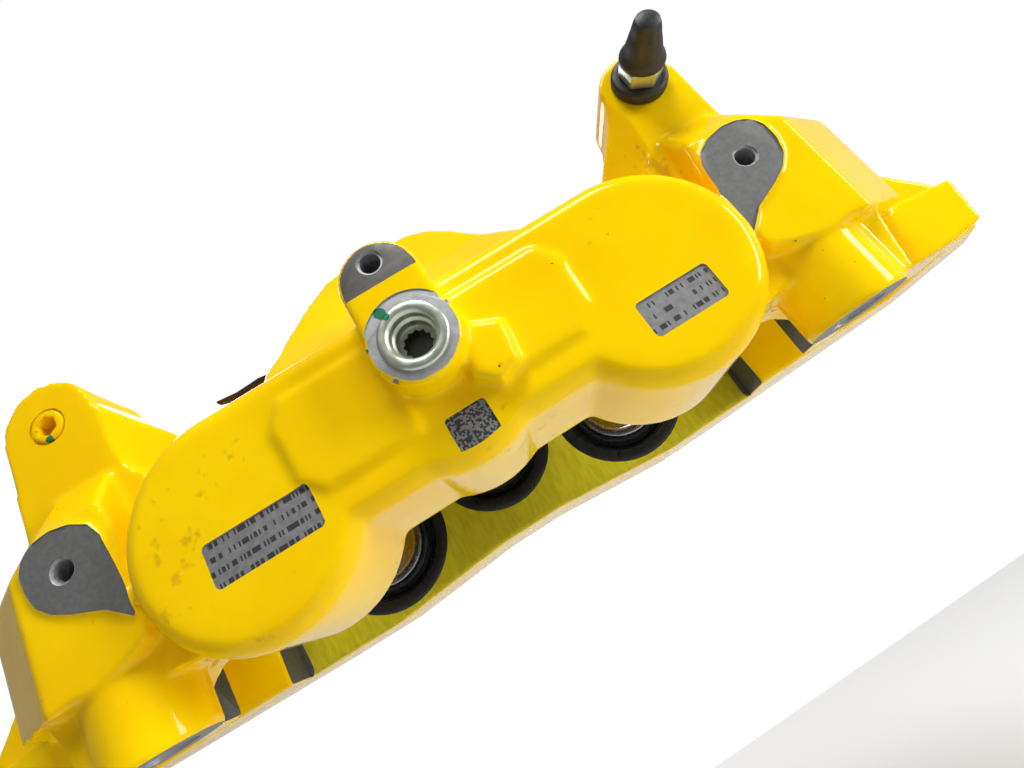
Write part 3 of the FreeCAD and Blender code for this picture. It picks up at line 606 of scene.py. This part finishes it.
boot_rubber = black_rubber("boot_rubber", (0.006, 0.0065, 0.0075), 0.3)
# The lip's rubber is a lighter, bluer copy of the boot's rubber: a painted bluish sheen, with a little less
# roughness.
lip_rubber_painted_sheen = black_rubber("lip_rubber_painted_sheen", (0.010, 0.012, 0.015), 0.22)
SEAT_FLOOR = BAY_HALF + SEAT_DEPTH
for side, way in SIDES.items():
    for place, (x, z, (bore, seat)) in CYLINDERS.items():
        where = (x, way * SEAT_FLOOR, z, -way)
        nose, neck = bore - 3, bore - 4.2
        body = "piston_%s_%s" % (side, place)
        ring = turned("boot_ring_%s_%s" % (side, place), [
            (bore + 1.7, 0), (seat, 0), (seat, 4.2), (seat - 0.2, 4.7), (seat - 0.7, 5), (bore + 2.7, 5),
            (bore + 2.1, 4.9), (bore + 1.75, 4.5), (bore + 1.7, 4), (bore + 1.7, 0)], *where, boot_rubber)
        fold = turned("boot_fold_%s_%s" % (side, place), [
            (bore + 1.9, 1.6), (bore + 1.9, 3.6), (bore + 1.5, 4.1), (bore + 0.9, 3.7), (bore + 0.4, 2.9),
            (bore - 0.2, 2.6), (bore - 0.7, 2.9), (bore - 1.1, 3.6), (bore - 1.6, 3.9), (bore - 2.1, 3.5),
            (bore - 2.2, 2.4), (bore - 1.6, 2.3), (bore - 1.2, 2.0), (bore - 0.8, 1.5), (bore - 0.1, 1.2),
            (bore + 0.7, 1.5), (bore + 1.2, 1.8), (bore + 1.9, 1.6)], *where, boot_rubber)
        lip = turned("boot_lip_%s_%s" % (side, place), [
            (neck + 0.05, 2.4), (neck + 0.05, 4.9), (nose - 0.1, 4.95), (nose + 0.1, 5.4), (nose + 0.5, 5.7),
            (nose + 1.3, 5.6), (bore - 1.2, 5.0), (bore - 1.0, 4.2), (bore - 1.2, 3.2), (bore - 1.8, 2.5),
            (neck + 0.05, 2.4)], *where, lip_rubber_painted_sheen)
        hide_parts("boot_%s_%s" % (side, place))
        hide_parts("boot_%s_%s" % (side, place))
        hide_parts("boot_%s_%s" % (side, place))
        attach(ring, "caliper")
        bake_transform(fold)
        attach(lip, body)
        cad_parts["seal_%s_%s" % (side, place)].data.materials.clear()
        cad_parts["seal_%s_%s" % (side, place)].data.materials.append(boot_rubber)


# ---------------------------------------------------------------- inlet adapter
# A zinc plated steel fitting screwed into the middle of the front, with a stepped bore and a
# twelve-point socket in its floor. A dab of green marks it as tightened.

def zinc(name, mark=None):
    made, tree, shader = material(name, (0.60, 0.63, 0.56), 0.36, 0.85)
    tint = steps(tree, noise(tree, 160, 4), [(0.3, (0.50, 0.55, 0.46)), (0.55, (0.62, 0.64, 0.54)),
                                             (0.75, (0.54, 0.59, 0.58))])
    if mark:
        tint = mix(tree, dab(tree, *mark), tint, MARK_GREEN)
    tree.links.new(tint, shader.inputs["Base Color"])
    tree.links.new(steps(tree, noise(tree, 600, 4), [(0.3, grey(0.28)), (0.7, grey(0.46))]),
                   shader.inputs["Roughness"])
    bump(tree, shader, noise(tree, 1300, 3), 0.012, 0.6)
    return made


adapter_zinc = zinc("adapter_zinc", ((-3.1, INLET_FACE - 0.8, INLET_HEIGHT + 6.7), (0.9, 2.5, 0.9)))
adapter = turned("adapter_fitting", [
    (0, 0), (5.3, 0), (5.45, 0.3), (5.45, 9.9), (7.9, 9.9), (8, 10.1), (8, 10.4), (7.75, 10.75), (7.4, 10.9),
    (6.1, 10.9), (5.9, 10.8), (5.3, 10.2), (5.2, 10), (5.2, 8.2), (5.1, 8), (4.6, 7.7), (4.45, 7.4), (4.4, 7.2),
    (4.4, 4.8), (4.2, 4.5), (0, 4.5)], 0, INLET_FACE + 9.9, INLET_HEIGHT, -1, adapter_zinc)
# The socket's walls get a dark steel: painted shade deep in the fitting's floor.
socket_painted_shade = plated_steel("socket_steel_painted_shade", (0.22, 0.22, 0.19), 0.35)
star = []
for point in range(24):
    reach = 3.65 if point % 2 else 3.05
    turn = math.radians(15 * point)
    star.append((reach * math.cos(turn), INLET_HEIGHT + reach * math.sin(turn)))
carve(adapter, [slab(star, INLET_FACE + 9.0, INLET_FACE + 2)], socket_painted_shade)
only(adapter)
bpy.ops.object.shade_smooth_by_angle(angle=math.radians(34))
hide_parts("inlet_adapter")
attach(adapter, "caliper")


# ---------------------------------------------------------------- port plug
# A plug screwed flush into the left tower before painting, with a hexagon socket. The enamel
# runs over it, but leaves the gap round it; a dab of green marks it as tightened.

plug_x, plug_z = TOWERS["plug"]
plug_enamel = yellow_enamel("plug_enamel", ((plug_x - 0.3, TOWER_FACE, plug_z - 3.9), (1.0, 3, 1.0)))
plug = turned("plug_screw", [
    (0, 0), (3.6, 0), (4.4, 1.2), (4.4, 13.0), (4.2, 13.3), (4.0, 13.4), (0, 13.4)],
    plug_x, TOWER_FACE + 13, plug_z, -1, plug_enamel)
carve(plug, [rod(2.9, TOWER_FACE - 3, TOWER_FACE + 4, plug_x, plug_z, 6)], plug_enamel)
finish_with(plug, "BEVEL", width=0.18 * MM, segments=3, limit_method="ANGLE", angle_limit=math.radians(40))
only(plug)
bpy.ops.object.shade_smooth_by_angle(angle=math.radians(34))
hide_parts("port_plug")
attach(plug, "caliper")


# ---------------------------------------------------------------- bleeder
# A zinc plated bleeder screw in the right tower, with a rubber cap pulled over its nipple and
# the thick rubber ring of the cap round its shank.

bleed_x, bleed_z = TOWERS["bleeder"]
bleeder_zinc = zinc("bleeder_zinc")
screw = turned("bleeder_shank", [
    (0, 0), (2.6, 2.6), (3.4, 2.6), (3.4, 4), (4.4, 5), (4.4, 17.2), (3.9, 17.2), (3.9, 22.4), (2.9, 23),
    (2.9, 26.5), (3.6, 27.3), (3.6, 28.6), (2.6, 31), (1.1, 31), (1.1, 5.5), (0, 5.5)],
    bleed_x, TOWER_FACE + 14, bleed_z, -1, bleeder_zinc)
hexagon = rod(6.3, TOWER_FACE - 3.8, TOWER_FACE - 8.4, bleed_x, bleed_z, 6)
hexagon.data.materials.append(bleeder_zinc)
finish_with(hexagon, "BEVEL", width=0.35 * MM, segments=3, limit_method="ANGLE", angle_limit=math.radians(40))
screw = merge([screw, hexagon])
only(screw)
bpy.ops.object.shade_smooth_by_angle(angle=math.radians(34))
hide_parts("bleeder_screw")
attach(screw, "bleeder_screw")

cap_rubber = black_rubber("cap_rubber", (0.016, 0.016, 0.017), 0.5)
cap = turned("bleeder_dust_cap", [
    (0, 11.4), (2.8, 11.4), (3.66, 10), (3.66, 4.9), (4.0, 4.6), (4.0, 0), (5.7, 0), (6.1, 0.15), (6.35, 0.5),
    (6.4, 1.2), (6.2, 1.9), (5.6, 2.8), (5.3, 3.6), (4.9, 5.5),
    (4.35, 8.5), (4.2, 8.8), (3.9, 11), (3.6, 12.5), (3.2, 13.6), (2.3, 14.1), (1.0, 14.3), (0, 14.3)],
    bleed_x, TOWER_FACE - 8.6, bleed_z, -1, cap_rubber)
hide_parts("bleeder_cap")
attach(cap, "bleeder_cap")

ring = turned("cap_strap_ring", [
    (4.6, 0.02), (7.5, 0.02), (7.9, 0.3), (8.0, 0.9), (8.0, 2.7), (7.8, 3.2), (7.3, 3.55), (6.6, 3.6), (4.6, 3.6),
    (4.6, 0.02)], bleed_x, TOWER_FACE, bleed_z, -1, cap_rubber)
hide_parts("cap_ring")
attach(ring, "caliper")


# ---------------------------------------------------------------- pad spring
# A leaf of dark coated spring steel under the middle bridge, which presses on the brake pads.
# Its long arms reach up into the left window.

made, tree, shader = material("spring_coating", (0.055, 0.03, 0.022), 0.38, 0.6)
tree.links.new(steps(tree, noise(tree, 180, 5), [(0.3, (0.03, 0.018, 0.014)), (0.7, (0.10, 0.05, 0.035))]),
               shader.inputs["Base Color"])
tree.links.new(steps(tree, noise(tree, 500, 4), [(0.3, grey(0.28)), (0.7, grey(0.5))]),
               shader.inputs["Roughness"])
bump(tree, shader, noise(tree, 1200, 3), 0.02, 0.5)
only(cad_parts["pad_spring"])
bpy.ops.object.duplicate()
spring = bpy.context.object
spring.name = "spring_leaf"
spring.data.materials.clear()
spring.data.materials.append(made)
bpy.ops.object.mode_set(mode="EDIT")
bpy.ops.mesh.select_all(action="SELECT")
bpy.ops.mesh.remove_doubles(threshold=0.005 * MM)
bpy.ops.mesh.dissolve_limited(angle_limit=math.radians(1))
bpy.ops.object.mode_set(mode="OBJECT")
finish_with(spring, "BEVEL", width=0.18 * MM, segments=2, limit_method="ANGLE", angle_limit=math.radians(50))
only(spring)
bpy.ops.object.shade_smooth_by_angle(angle=math.radians(34))
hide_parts("pad_spring")
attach(spring, "caliper")
